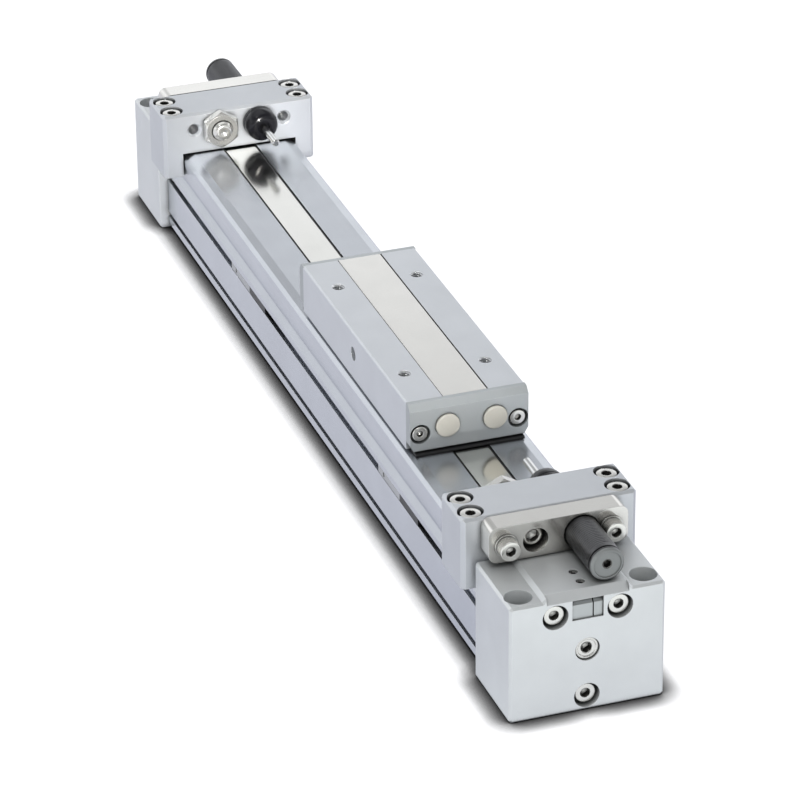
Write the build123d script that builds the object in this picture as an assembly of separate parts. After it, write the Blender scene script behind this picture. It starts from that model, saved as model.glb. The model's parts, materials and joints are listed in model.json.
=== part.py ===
from build123d import *
import os

os.makedirs("parts", exist_ok=True)

# A rodless pneumatic cylinder, in millimetres. X runs along the stroke, Y across it and Z up.
# The origin is at the middle of the cylinder, on the plane that its head covers stand on.
# The near end is +X and the far end is -X.

# Cylinder
stroke = 200
bore_diameter = 25
bore_height = 22.6
tube_allowance = 158
carriage_x = 42.3

# Clearances
running_fit = 0.05
thread_fit = 0.05
screw_clearance = 0.25
seat_gap = 0.3
jaw_fit = 0.1
clamp_fit = 0.1

# Tube
tube_width = 46
tube_bottom = 0.5
tube_top = 40.3
shoulder_inset = 4.8
shoulder_drop = 0.8
shoulder_bevel_inset = 1.8
shoulder_bevel_drop = 2
tube_foot_bevel = 1.2
flank_cusp_height = 36
flank_waist_height = 28
flank_ledge_height = 25.5
flank_cusp_inset = 0.6
flank_waist_inset = 1.6
switch_groove_height = 21.8
switch_groove_diameter = 6.4
switch_groove_opening = 3
switch_groove_depth = 3.6
foot_groove_height = 5.7
foot_groove_opening = 2.2
foot_groove_lip = 1.5
foot_groove_width = 4.8
foot_groove_depth = 3.4
air_duct_diameter = 5
air_duct_y = 12.5
air_duct_height = 7

# Bands and their slot
slot_width = 7
slot_lip_height = 3.8
seal_band_width = 9
seal_band_thickness = 0.8
dust_band_width = 11.7
dust_band_thickness = 0.4
dust_band_recess = 0.6
dust_band_side_gap = 0.85
band_side_gap = 0.3
band_overrun = 9

# Head covers
head_length = 31.5
head_width = 53
head_height = 42.4
head_chamfer = 0.8
pad_half_width = 14
pad_rise = 1.4
pad_front_chamfer = 2.6
head_spigot_length = 3
gasket_width = 1.5
mount_hole_inset = 6.5
mount_hole_y = 21.3
mount_hole_diameter = 5.5
mount_bore_diameter = 9.2
mount_bore_depth = 5.5
head_screw_y = 11
head_screw_top_height = 36.3
head_screw_bottom_height = 5.4
head_screw_bore = 8.8
head_screw_bore_depth = 5.5
head_screw_length = 38
port_plug_diameter = 8.4
port_plug_length = 7
port_plug_inset = 0.6
air_passage_diameter = 5
side_port_diameter = 8.6
side_port_depth = 9
side_port_inset = 16.5
side_port_face_diameter = 15
side_port_face_depth = 0.5
side_passage_diameter = 4.2
needle_diameter = 4
needle_length = 13
needle_tip_diameter = 1.4
needle_tip_length = 3
needle_passage_diameter = 1.6
needle_passage_y = 6
needle_inset = 6.5
needle_height = 31
cushion_boss_diameter = 9.6
cushion_boss_reach = 19
cushion_boss_root = 8
clamp_pocket_inset = 11
clamp_pocket_width = 10.6
clamp_pocket_bottom = 33.9
clamp_pocket_top = 41.2
clamp_front_inset = 0.6
clamp_front_bevel = 2
clamp_split_y = 2
clamp_split_width = 0.4
clamp_screw_positions = (18.3, 24.5)

# Stop brackets, plates, absorbers and adjusting bolts
bracket_setback = 2.5
bracket_thickness = 20
bracket_leg = 7.2
bracket_bottom = 31.5
bracket_rise = 7
bracket_beam_gap = 0.5
bracket_leg_gap = 0.3
bracket_top_chamfer = 1
bracket_corner_chamfer = 1.3
bracket_wall = 1.8
bracket_screw_offset = 2.3
bracket_screw_spacing = 9.6
bracket_screw_bore = 8.7
bracket_screw_bore_depth = 4.6
bracket_screw_end_gap = 1.2
jaw_end_gap = 0.8
jaw_height = 8.2
jaw_drop = 0.7
jaw_floor = 1
plate_thickness = 8
plate_width = 47.8
plate_rise = 6.8
plate_corner_radius = 3
plate_screw_y = 18
plate_screw_length = 17
plate_thread_countersink = 0.9
adjuster_y = 7.9
adjuster_rise = 6.3
absorber_diameter = 11.8
absorber_length = 54
absorber_stickout = 22.6
absorber_end_step = 0.4
absorber_end_bevel = 0.7
absorber_groove_start = 1.7
absorber_groove_width = 0.5
absorber_groove_depth = 0.7
absorber_bush_length = 6.5
absorber_chamber_diameter = 8.4
absorber_chamber_length = 36
absorber_cap_diameter = 12.7
absorber_cap_length = 7.4
absorber_cap_dome = ((0, 0.55), (0.5, 0.83), (1.7, 0.96), (3, 1))
absorber_rod_diameter = 2.8
absorber_rod_stickout = 15
absorber_piston_length = 4
bolt_diameter = 8
bolt_length = 31.3
bolt_end_recess = 2.8
bolt_socket = 4
bolt_plate_hole = 8.7
nut_across_flats = 13
nut_thickness = 4
nut_bevel_share = 0.6

# Carriage
slider_length = 110
slider_width = 42.4
slider_top = 58.9
slider_gap = 0.8
slider_chamfer = 0.6
slider_hole_x = 35
slider_hole_y = 14.6
slider_hole_diameter = 4.2
slider_hole_chamfer = 0.35
slider_hole_depth = 9
slider_side_hole_height = 50.5
slider_side_hole_diameter = 5
slider_side_hole_depth = 8
strip_width = 15.8
strip_thickness = 1.6
strip_gap = 0.3
bearing_inner_y = 11.5
bearing_width = 7
bearing_thickness = 1.7
cover_thickness = 4
cover_bottom_gap = 0.9
cover_foot_bevel = 0.6
cover_top_bevel = 2.1
cover_bottom_bevel_y = 1.7
cover_bottom_bevel_z = 2.9
cover_screw_y = 17.5
cover_screw_height = 48
cover_screw_bore = 7.2
cover_screw_bore_depth = 2.6
cover_screw_length = 11
button_diameter = 8.6
button_proud = 1.2
absorber_button_offset = 1.2
button_stem_diameter = 5
button_stem_length = 6
scraper_thickness = 2.3
scraper_height = 3.2
scraper_root_width = 30
scraper_proud = 1.3
scraper_tongue_gap = 0.1
neck_length = 30
neck_gap = 0.3
flange_length = 40
flange_width = 20
flange_thickness = 5.1
flange_gap = 0.45
coupling_pin_diameter = 3
coupling_pin_x = 9
coupling_pin_height = 43.8
coupling_pin_length = 32
hump_clearance = 0.4
hump_half_length = 22
hump_ramp = 20
hump_bend = 14
dip_depth = 5.9
dip_half_length = 16.5
dip_ramp = 14.5
dip_bend = 9
window_height = 2.2
window_side_gap = 0.4
yoke_clearance = 0.2
yoke_bar_top = 27
yoke_spigot_diameter = 8
yoke_spigot_length = 10
piston_start = 34
piston_length = 32
piston_seal_start = 24
piston_seal_width = 3.6
piston_seal_depth = 1.8
piston_seal_notch = 0.9
wear_ring_start = 4
wear_ring_width = 5.6
wear_ring_depth = 1
magnet_start = 14
magnet_width = 5
magnet_depth = 3
magnet_inset = 0.3
cushion_bore_depth = 18

# Position switches in the groove of the -Y side
switch_clamp_length = 22
switch_body_length = 18.5
switch_near_x = 73
switch_far_x = -95
switch_fit = 0.1
switch_screw_diameter = 1.8
switch_face_inset = 0.1

# Shares of a screw's own size
screw_head_bevel = 0.05
screw_tip_bevel = 0.1
socket_depth = 0.55
set_screw_socket = 0.8

# Socket head cap screws and set screws: thread, head diameter, head height and hexagon socket
m3 = {"thread": 3, "head": 5.5, "height": 2.3, "socket": 2}
m4 = {"thread": 4, "head": 7, "height": 4, "socket": 3}
washer_outer = 8
washer_thickness = 0.6

# Stations along X and heights that several pieces share
tube_length = stroke + tube_allowance
tube_end = tube_length / 2
cylinder_end = tube_end + head_length
tube_shoulder = tube_width / 2 - flank_cusp_inset
slot_floor = tube_top - dust_band_recess
seal_band_top = slot_floor - slot_lip_height
seal_band_bottom = seal_band_top - seal_band_thickness
bracket_outer = tube_end - bracket_setback
bracket_inner = bracket_outer - bracket_thickness
bracket_width = tube_width + 2 * bracket_leg
bracket_screw_y = tube_width / 2 + bracket_screw_offset
plate_outer = bracket_outer + plate_thickness
pad_top = head_height + pad_rise
adjuster_height = pad_top + adjuster_rise
bracket_top = adjuster_height + bracket_rise
plate_bottom = pad_top + seat_gap
plate_top = adjuster_height + plate_rise
slider_bottom = tube_top + slider_gap
slider_end = slider_length / 2
cover_end = slider_end + cover_thickness
flange_bottom = tube_top + flange_gap
flange_top = flange_bottom + flange_thickness
hump_height = flange_top + hump_clearance
window_middle = (seal_band_top + seal_band_bottom) / 2 - dip_depth


def along_x(diameter, start, end, y=0, z=0):
    return Pos((start + end) / 2, y, z) * Rot(0, 90, 0) * Cylinder(diameter / 2, abs(end - start))


def along_y(diameter, start, end, x=0, z=0):
    return Pos(x, (start + end) / 2, z) * Rot(90, 0, 0) * Cylinder(diameter / 2, abs(end - start))


def along_z(diameter, start, end, x=0, y=0):
    return Pos(x, y, (start + end) / 2) * Cylinder(diameter / 2, abs(end - start))


def block(x_span, y_span, z_span):
    low, high = zip(x_span, y_span, z_span)
    size = [b - a for a, b in zip(low, high)]
    middle = [(a + b) / 2 for a, b in zip(low, high)]
    return Pos(*middle) * Box(*size)


def across(points):
    # A closed outline of (y, z) points.
    return make_face(Polyline(*points, close=True))


def drawn_out(section, start, end):
    # A (y, z) section drawn out along X.
    return extrude(Plane.YZ.offset(start) * section, amount=end - start)


def cut_from_side(points, width):
    # A closed outline of (x, z) points, with its thickness along Y about the middle plane.
    return extrude(Plane.XZ * make_face(Polyline(*points, close=True)), amount=width / 2, both=True)


def turned(points, y=0, z=0):
    # A closed outline of (x, radius) points, turned about a line along X.
    return Pos(0, y, z) * revolve(Plane.XZ * make_face(Polyline(*points, close=True)), Axis.X)


def hexagon_x(flats, start, end, y=0, z=0):
    outline = RegularPolygon(flats / 2, 6, major_radius=False)
    return drawn_out(Pos(y, z) * outline, start, end)


def both_sides(shape):
    return [shape, shape.mirror(Plane.XZ)]


def group(pieces):
    return Compound([solid for piece in pieces for solid in piece.solids()])


def save(name, shape):
    export_step(shape, f"parts/{name}.step")


def save_both_ends(name, shape):
    save(f"{name}_near", shape)
    save(f"{name}_far", shape.mirror(Plane.YZ))


def save_on_carriage(name, shape):
    save(name, Pos(carriage_x, 0, 0) * shape)


def save_carriage_ends(name, shape):
    save_on_carriage(f"{name}_near", shape)
    save_on_carriage(f"{name}_far", shape.mirror(Plane.YZ))


# A cap screw that points down -Z, with the underside of its head at z = 0.
def cap_screw(size, length):
    head = Pos(0, 0, size["height"] / 2) * Cylinder(size["head"] / 2, size["height"])
    head = chamfer(head.edges().sort_by(Axis.Z)[-1], size["head"] * screw_head_bevel)
    shank = Pos(0, 0, -length / 2) * Cylinder(size["thread"] / 2 - thread_fit, length)
    shank = chamfer(shank.edges().sort_by(Axis.Z)[0], size["thread"] * screw_tip_bevel)
    depth = size["height"] * socket_depth
    socket = RegularPolygon(size["socket"] / 2, 6, major_radius=False)
    return head + shank - Pos(0, 0, size["height"] - depth) * extrude(socket, amount=depth)


# Head of the screw towards +X, its underside at x.
def cap_screw_x(size, length, x, y, z):
    return Pos(x, y, z) * Rot(0, 90, 0) * cap_screw(size, length)


# Tube

# The flank narrows from its cusp down to its waist, so that the jaws of the stop brackets can pull on it.
def tube_outline():
    half = tube_width / 2
    side = [
        (half - tube_foot_bevel, tube_bottom),
        (half, tube_bottom + tube_foot_bevel),
        (half, flank_ledge_height),
        (half - flank_waist_inset, flank_waist_height),
        (tube_shoulder, flank_cusp_height),
        (tube_shoulder, tube_top - shoulder_bevel_drop),
        (half - shoulder_bevel_inset, tube_top - shoulder_drop),
        (half - shoulder_inset, tube_top),
    ]
    return across(side + [(-y, z) for y, z in reversed(side)])


def tube_section():
    ducts = Pos(air_duct_y, air_duct_height) * Circle(air_duct_diameter / 2)
    sides = Sketch() + [switch_groove(), foot_groove(), ducts]
    section = tube_outline() - sides - sides.mirror(Plane.YZ)
    section -= Pos(0, bore_height) * Circle(bore_diameter / 2)
    return section - band_slot()


def switch_groove():
    middle = tube_width / 2 - switch_groove_depth
    round_part = Pos(middle, switch_groove_height) * Circle(switch_groove_diameter / 2)
    mouth = Pos(middle + switch_groove_depth / 2 + 1, switch_groove_height)
    return round_part + mouth * Rectangle(switch_groove_depth + 2, switch_groove_opening)


def foot_groove():
    half = tube_width / 2
    mouth = Pos(half, foot_groove_height) * Rectangle(foot_groove_lip * 2 + 1, foot_groove_opening)
    inside_depth = foot_groove_depth - foot_groove_lip
    inside_y = half - foot_groove_lip - inside_depth / 2
    return mouth + Pos(inside_y, foot_groove_height) * Rectangle(inside_depth, foot_groove_width)


# Slot through the roof of the bore, with a seat below for the seal band and one above for the dust band.
def band_slot():
    seal_seat_width = seal_band_width + 2 * band_side_gap
    dust_seat_width = dust_band_width + 2 * dust_band_side_gap
    seat_height = seal_band_top - bore_height
    slot_height = tube_top - bore_height
    seal_seat = Pos(0, bore_height + seat_height / 2) * Rectangle(seal_seat_width, seat_height)
    slot = Pos(0, bore_height + slot_height / 2) * Rectangle(slot_width, slot_height)
    dust_seat = Pos(0, slot_floor + dust_band_recess) * Rectangle(dust_seat_width, dust_band_recess * 2)
    return seal_seat + slot + dust_seat


def head_screw_places():
    return [
        (-head_screw_y, head_screw_top_height),
        (head_screw_y, head_screw_top_height),
        (0, head_screw_bottom_height),
    ]


def head_screw_seat():
    return cylinder_end - head_screw_bore_depth


def cylinder_tube():
    tube = drawn_out(tube_section(), -tube_end, tube_end)
    tip = head_screw_seat() - head_screw_length
    for y, z in head_screw_places():
        hole = along_x(m4["thread"], tip - 1, tube_end + 1, y, z)
        tube -= [hole, hole.mirror(Plane.YZ)]
    return tube


# Bands. Both leave the slot inside the carriage: the dust band passes over the yoke's flange
# and the seal band passes through the window under the yoke's neck.

def band(width, thickness, rest_height, lifted_height, half_length, ramp, bend):
    end = tube_end + band_overrun
    line = FilletPolyline(
        (-end, rest_height),
        (carriage_x - half_length - ramp, rest_height),
        (carriage_x - half_length, lifted_height),
        (carriage_x + half_length, lifted_height),
        (carriage_x + half_length + ramp, rest_height),
        (end, rest_height),
        radius=bend,
    )
    return extrude(Plane.XZ * trace(line, thickness), amount=width / 2, both=True)


def dust_seal_band():
    rest = slot_floor + dust_band_thickness / 2
    lifted = hump_height + dust_band_thickness / 2
    return band(
        dust_band_width, dust_band_thickness, rest, lifted, hump_half_length, hump_ramp, hump_bend
    )


def inner_seal_band():
    rest = (seal_band_top + seal_band_bottom) / 2
    return band(
        seal_band_width, seal_band_thickness, rest, window_middle, dip_half_length, dip_ramp, dip_bend
    )


# Near head cover: the far one is its mirror image.

def head_block():
    half = head_width / 2
    top = pad_top
    foot = pad_half_width + pad_rise
    body = drawn_out(across([
        (-half, 0), (half, 0), (half, head_height), (foot, head_height), (pad_half_width, top),
        (-pad_half_width, top), (-foot, head_height), (-half, head_height),
    ]), tube_end, cylinder_end)
    corners = [e for e in body.edges().filter_by(Axis.X) if abs(e.center().Y) > half - 0.1]
    body = chamfer(corners, head_chamfer)
    body = chamfer(body.faces().sort_by(Axis.X)[-1].edges(), head_chamfer)
    body = chamfer(body.faces().sort_by(Axis.X)[0].edges().filter_by(Axis.Z), head_chamfer / 2)
    return body - cut_from_side([
        (cylinder_end + 1, top + 1),
        (cylinder_end - pad_front_chamfer - 1, top + 1),
        (cylinder_end + 1, top - pad_front_chamfer - 1),
    ], pad_half_width * 2)


def head_spigot():
    start = tube_end - head_spigot_length
    radius = bore_diameter / 2 - running_fit
    groove_start = start + (head_spigot_length - gasket_width) / 2 - running_fit
    groove_end = groove_start + gasket_width + 2 * running_fit
    floor = radius - gasket_width
    return turned([
        (start, 0), (start, radius), (groove_start, radius), (groove_start, floor),
        (groove_end, floor), (groove_end, radius), (tube_end, radius), (tube_end, 0),
    ], z=bore_height)


def head_gasket():
    middle = tube_end - head_spigot_length / 2
    half = gasket_width / 2
    outer = bore_diameter / 2 - running_fit
    inner = outer - gasket_width + running_fit
    bevel = gasket_width / 4
    return turned([
        (middle - half, inner), (middle - half, outer - bevel), (middle - half + bevel, outer),
        (middle + half - bevel, outer), (middle + half, outer - bevel), (middle + half, inner),
    ], z=bore_height)


def side_port_x():
    return cylinder_end - side_port_inset


def air_passages():
    boss_end = tube_end + cushion_boss_root
    side = head_width / 2
    x = side_port_x()
    return [
        along_x(port_plug_diameter, cylinder_end - port_plug_length - 1, cylinder_end + 1, 0, bore_height),
        along_x(air_passage_diameter, boss_end - 1, cylinder_end - port_plug_length, 0, bore_height),
        along_y(side_port_diameter, side - side_port_depth, side + 1, x, bore_height),
        along_y(side_port_face_diameter, side - side_port_face_depth, side + 1, x, bore_height),
        along_y(side_passage_diameter, 0, side - side_port_depth + 1, x, bore_height),
        along_x(cushion_boss_diameter, tube_end - head_spigot_length - 1, boss_end, 0, bore_height),
    ]


def needle_x():
    return tube_end + needle_inset


def needle_passages():
    side = head_width / 2
    bottom = side - needle_length - 1
    return [
        along_y(needle_diameter, bottom, side + 1, needle_x(), needle_height),
        along_y(needle_passage_diameter, needle_passage_y, bottom + 1, needle_x(), needle_height),
        along_x(
            needle_passage_diameter,
            tube_end - head_spigot_length - 1,
            needle_x(),
            needle_passage_y,
            needle_height,
        ),
    ]


def clamp_pocket_start():
    return tube_end + clamp_pocket_inset


# Room for the ends of both bands, and behind the front opening for the clamp that holds them.
def clamp_pocket():
    band_half = dust_band_width / 2 + dust_band_side_gap
    half = clamp_pocket_width / 2
    start = clamp_pocket_start()
    height = (clamp_pocket_bottom, clamp_pocket_top)
    pieces = [
        block((tube_end - 1, start), (-band_half, band_half), (seal_band_bottom, clamp_pocket_top)),
        block((start - 1, cylinder_end + 1), (-half, half), height),
    ]
    for inset in clamp_screw_positions:
        x = tube_end + inset
        pieces.append(along_z(m3["thread"], clamp_pocket_top - 1, pad_top + 1, x))
    return pieces


def mount_holes():
    x = cylinder_end - mount_hole_inset
    holes = []
    for y in (-mount_hole_y, mount_hole_y):
        holes.append(along_z(mount_hole_diameter, -1, head_height + 1, x, y))
        holes.append(along_z(mount_bore_diameter, head_height - mount_bore_depth, head_height + 1, x, y))
    return holes


def head_cover():
    cover = head_block() + head_spigot()
    for y, z in head_screw_places():
        clear = m4["thread"] + 2 * screw_clearance
        cover -= along_x(clear, tube_end - 1, cylinder_end, y, z)
        cover -= along_x(head_screw_bore, head_screw_seat(), cylinder_end + 1, y, z)
    for room in air_passages() + needle_passages() + clamp_pocket() + mount_holes():
        cover -= room
    return cover


def head_screws():
    return group(
        cap_screw_x(m4, head_screw_length, head_screw_seat(), y, z) for y, z in head_screw_places()
    )


def end_port_plug():
    outer = cylinder_end - port_plug_inset
    plug = along_x(port_plug_diameter - 2 * thread_fit, outer - port_plug_length, outer, 0, bore_height)
    plug = chamfer(plug.edges().sort_by(Axis.X)[-1], head_chamfer / 2)
    return plug - hexagon_x(bolt_socket, outer - port_plug_length / 2, outer + 1, 0, bore_height)


# Pointed screw that throttles the air leaving the cushion.
def cushion_needle():
    outer = head_width / 2 - port_plug_inset
    shank_length = needle_length - needle_tip_length
    shank = along_y(needle_diameter - 2 * running_fit, outer - shank_length, outer, needle_x(), needle_height)
    tip_start = Plane(
        origin=(needle_x(), outer - shank_length, needle_height), z_dir=(0, -1, 0)
    )
    tip = tip_start * Pos(0, 0, needle_tip_length / 2) * Cone(
        needle_tip_diameter / 2, needle_passage_diameter / 4, needle_tip_length
    )
    slit = block(
        (needle_x() - needle_diameter, needle_x() + needle_diameter),
        (outer - 1, outer + 1),
        (needle_height - needle_diameter / 10, needle_height + needle_diameter / 10),
    )
    return shank + tip - slit


def cushion_boss():
    inner = tube_end - cushion_boss_reach
    outer = tube_end + cushion_boss_root
    radius = cushion_boss_diameter / 2 - running_fit
    bevel = radius / 5
    bore = air_passage_diameter / 2
    return turned([
        (inner, bore), (inner, radius - bevel), (inner + 2 * bevel, radius), (outer, radius), (outer, bore),
    ], z=bore_height)


# Block in the front pocket with a tongue that lies between the ends of the two bands.
def band_clamp():
    start = clamp_pocket_start() + seat_gap
    front = cylinder_end - clamp_front_inset
    half = clamp_pocket_width / 2 - clamp_fit
    body = block((start, front), (-half, half), (clamp_pocket_bottom, clamp_top()))
    body = chamfer(body.faces().sort_by(Axis.X)[-1].edges().sort_by(Axis.Z)[-1], clamp_front_bevel)
    tongue_half = seal_band_width / 2
    tongue = block((tube_end + 1, start), (-tongue_half, tongue_half), (seal_band_top, slot_floor))
    split = (clamp_split_y - clamp_split_width / 2, clamp_split_y + clamp_split_width / 2)
    deep = front - clamp_front_bevel - 1
    return body + tongue - block((deep, front + 1), split, (clamp_pocket_bottom - 1, clamp_top() + 1))


def clamp_top():
    return clamp_pocket_top - clamp_fit


def band_clamp_screws():
    bottom = clamp_top()
    top = pad_top - m3["thread"] / 5
    screws = []
    for inset in clamp_screw_positions:
        x = tube_end + inset
        screw = along_z(m3["thread"] - 2 * thread_fit, bottom, top, x)
        socket = RegularPolygon(m3["socket"] * set_screw_socket / 2, 6, major_radius=False)
        screws.append(screw - Pos(x, 0, (bottom + top) / 2) * extrude(socket, amount=top))
    return group(screws)


# Stop bracket at the near end, over the tube

def bracket_screw_stations():
    middle = (bracket_inner + bracket_outer) / 2
    return (middle - bracket_screw_spacing / 2, middle + bracket_screw_spacing / 2)


def bracket_screw_seat():
    return bracket_top - bracket_screw_bore_depth


def stop_bracket():
    half = bracket_width / 2
    leg = tube_shoulder + bracket_leg_gap
    beam = tube_top + bracket_beam_gap
    bracket = drawn_out(across([
        (-half, bracket_bottom), (-leg, bracket_bottom), (-leg, beam), (leg, beam), (leg, bracket_bottom),
        (half, bracket_bottom), (half, bracket_top), (-half, bracket_top),
    ]), bracket_inner, bracket_outer)
    bracket = chamfer(bracket.faces().sort_by(Axis.Z)[-1].edges(), bracket_top_chamfer)
    corners = [e for e in bracket.edges().filter_by(Axis.Z) if abs(e.center().Y) > half - 0.1]
    bracket = chamfer(corners, bracket_corner_chamfer)
    bracket -= both_sides(jaw_pocket())
    for x in bracket_screw_stations():
        for y in (-bracket_screw_y, bracket_screw_y):
            clear = m4["thread"] + 2 * screw_clearance
            bracket -= along_z(clear, bracket_bottom, bracket_top, x, y)
            bracket -= along_z(bracket_screw_bore, bracket_screw_seat(), bracket_top + 1, x, y)
    ends = (bracket_inner - 1, bracket_outer + 1)
    for y in (-plate_screw_y, plate_screw_y):
        bracket -= along_x(m4["thread"], *ends, y, adjuster_height)
        bracket -= plate_thread_mouth(y)
    bracket -= along_x(bolt_diameter, *ends, -adjuster_y, adjuster_height)
    return bracket - along_x(absorber_diameter, *ends, adjuster_y, adjuster_height)


# Countersink where a plate screw's thread comes out of the bracket's inner face
def plate_thread_mouth(y):
    radius = m4["thread"] / 2
    wide = radius + plate_thread_countersink
    end = bracket_inner + plate_thread_countersink
    return turned([(bracket_inner, 0), (bracket_inner, wide), (end, radius), (end, 0)], y, adjuster_height)


def jaw_outer_y():
    return bracket_width / 2 - bracket_wall


def jaw_top():
    return bracket_bottom - jaw_drop + jaw_height


def jaw_pocket():
    return block(
        (bracket_inner + bracket_wall, bracket_outer - bracket_wall),
        (tube_shoulder, jaw_outer_y()),
        (bracket_bottom - 1, jaw_top() + seat_gap),
    )


# Jaws drawn up by the bracket's screws against the dovetail flanks of the tube.
def bracket_clamp_jaws():
    ends = (bracket_inner + bracket_wall + jaw_end_gap, bracket_outer - bracket_wall - jaw_end_gap)
    bottom = bracket_bottom - jaw_drop
    slope = (flank_waist_inset - flank_cusp_inset) / (flank_cusp_height - flank_waist_height)
    cusp_y = tube_shoulder + jaw_fit
    bottom_y = cusp_y - slope * (flank_cusp_height - bottom)
    outer_y = jaw_outer_y() - seat_gap
    inner_y = tube_shoulder + seat_gap
    jaw = drawn_out(across([
        (bottom_y, bottom),
        (outer_y, bottom),
        (outer_y, jaw_top()),
        (inner_y, jaw_top()),
        (inner_y, flank_cusp_height),
        (cusp_y, flank_cusp_height),
    ]), *ends)
    for x in bracket_screw_stations():
        jaw -= along_z(m4["thread"], bottom + jaw_floor, jaw_top() + 1, x, bracket_screw_y)
    return group(both_sides(jaw))


def bracket_screws():
    hole_bottom = bracket_bottom - jaw_drop + jaw_floor
    length = bracket_screw_seat() - hole_bottom - bracket_screw_end_gap
    screws = []
    for x in bracket_screw_stations():
        for y in (-bracket_screw_y, bracket_screw_y):
            screws.append(Pos(x, y, bracket_screw_seat()) * cap_screw(m4, length))
    return group(screws)


def stop_plate():
    size = (plate_width, plate_top - plate_bottom)
    outline = Pos(0, (plate_top + plate_bottom) / 2) * RectangleRounded(*size, plate_corner_radius)
    plate = drawn_out(outline, bracket_outer, plate_outer)
    ends = (bracket_outer - 1, plate_outer + 1)
    for y in (-plate_screw_y, plate_screw_y):
        plate -= along_x(m4["thread"] + 2 * screw_clearance, *ends, y, adjuster_height)
    plate -= along_x(bolt_plate_hole, *ends, -adjuster_y, adjuster_height)
    return plate - along_x(absorber_diameter + 2 * screw_clearance, *ends, adjuster_y, adjuster_height)


def plate_screws():
    seat = plate_outer + washer_thickness
    length = plate_screw_length + washer_thickness
    return group(cap_screw_x(m4, length, seat, y, adjuster_height) for y in (-plate_screw_y, plate_screw_y))


def plate_washers():
    end = plate_outer + washer_thickness
    washers = []
    for y in (-plate_screw_y, plate_screw_y):
        washer = along_x(washer_outer, plate_outer, end, y, adjuster_height)
        washers.append(washer - along_x(m4["thread"] + screw_clearance, 0, cylinder_end, y, adjuster_height))
    return group(washers)


def absorber_outer():
    return plate_outer + absorber_stickout


def absorber_inner():
    return absorber_outer() - absorber_length


def absorber_body():
    outer = absorber_outer()
    inner = absorber_inner()
    radius = absorber_diameter / 2 - thread_fit
    step = radius - absorber_end_step
    floor = radius - absorber_groove_depth
    bush = absorber_rod_diameter / 2 + running_fit
    chamber = absorber_chamber_diameter / 2
    chamber_start = inner + absorber_bush_length
    chamber_end = chamber_start + absorber_chamber_length
    groove = outer - absorber_groove_start
    body = turned([
        (inner, bush), (inner, radius - absorber_end_bevel), (inner + absorber_end_bevel, radius),
        (groove - absorber_groove_width, radius), (groove - absorber_groove_width, floor),
        (groove, floor), (groove, step), (outer - absorber_end_bevel, step),
        (outer, step - absorber_end_bevel), (outer, 0),
        (chamber_end, 0), (chamber_end, chamber), (chamber_start, chamber), (chamber_start, bush),
    ], adjuster_y, adjuster_height)
    return body - hexagon_x(m4["socket"], outer - m4["socket"], outer + 1, adjuster_y, adjuster_height)


# Domed cap over the inner end of the absorber, against the bracket.
def absorber_cap():
    radius = absorber_cap_diameter / 2
    tip = bracket_inner - absorber_cap_length
    recess = absorber_diameter / 2
    floor = absorber_inner() - running_fit
    hole = absorber_rod_diameter / 2 + seat_gap
    dome = [(tip + back, radius * share) for back, share in absorber_cap_dome]
    return turned(dome + [
        (bracket_inner, radius), (bracket_inner, recess), (floor, recess), (floor, hole), (tip, hole),
    ], adjuster_y, adjuster_height)


def absorber_rod():
    radius = absorber_rod_diameter / 2
    bevel = radius / 3
    tip = bracket_inner - absorber_cap_length - absorber_rod_stickout
    head_start = absorber_inner() + absorber_bush_length + running_fit
    head = absorber_chamber_diameter / 2 - running_fit
    end = head_start + absorber_piston_length
    return turned([
        (tip, 0), (tip, radius - bevel), (tip + bevel, radius), (head_start, radius),
        (head_start, head), (end, head), (end, 0),
    ], adjuster_y, adjuster_height)


def bolt_outer():
    return plate_outer - bolt_end_recess


def adjusting_bolt():
    outer = bolt_outer()
    tip = outer - bolt_length
    radius = bolt_diameter / 2 - thread_fit
    bevel = radius / 6
    dimple = radius / 3
    bolt = turned([
        (tip + dimple / 2, 0), (tip, dimple), (tip, radius - bevel), (tip + bevel, radius),
        (outer - bevel, radius), (outer, radius - bevel), (outer, 0),
    ], -adjuster_y, adjuster_height)
    return bolt - hexagon_x(bolt_socket, outer - bolt_socket, outer + 1, -adjuster_y, adjuster_height)


# Hexagon lock nut, its corners bevelled on both faces.
def adjusting_bolt_nut():
    inner = bracket_inner - nut_thickness
    corner = nut_across_flats / 3 ** 0.5
    bevel = (corner - nut_across_flats / 2) * nut_bevel_share
    nut = hexagon_x(nut_across_flats, inner, bracket_inner, -adjuster_y, adjuster_height)
    nut &= turned([
        (inner, 0), (inner, nut_across_flats / 2), (inner + bevel, corner),
        (bracket_inner - bevel, corner), (bracket_inner, nut_across_flats / 2), (bracket_inner, 0),
    ], -adjuster_y, adjuster_height)
    return nut - along_x(bolt_diameter, inner - 1, bracket_inner + 1, -adjuster_y, adjuster_height)


# Carriage pieces are drawn about x = 0 and moved to where the carriage stands.

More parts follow.
